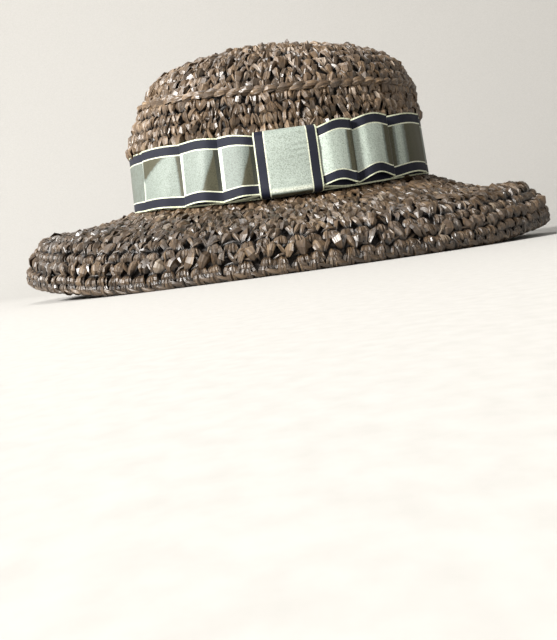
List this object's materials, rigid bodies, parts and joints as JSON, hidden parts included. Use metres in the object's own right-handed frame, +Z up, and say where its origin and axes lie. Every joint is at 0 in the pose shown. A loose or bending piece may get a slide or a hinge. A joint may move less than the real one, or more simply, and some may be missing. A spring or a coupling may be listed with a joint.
{
  "type": "wide-brim crocheted raffia hat",
  "caption": "Wide-brim sun hat crocheted from flat raffia, with a round crown, a sloping brim and a striped ribbon band tied in a flat stacked bow at the side.",
  "frame": {"origin": "on the surface that the hat rests on, under the middle of its outline", "axes": "+X to the front of the hat, +Y to the wearer's left, +Z up; the bow is on the wearer's right, at -Y"},
  "size_m": [0.3606, 0.3156, 0.1501],
  "materials": {
    "raffia": "glossy creased paper raffia, crocheted",
    "ribbon": "satin ribbon, pale green with navy edges"
  },
  "bodies": {
    "root": {"crown": "raffia", "brim": "raffia", "ribbon_band": "ribbon", "bow_loop_long": "ribbon", "bow_loop_middle": "ribbon", "bow_loop_short": "ribbon", "bow_knot": "ribbon"}
  },
  "joints": []
}
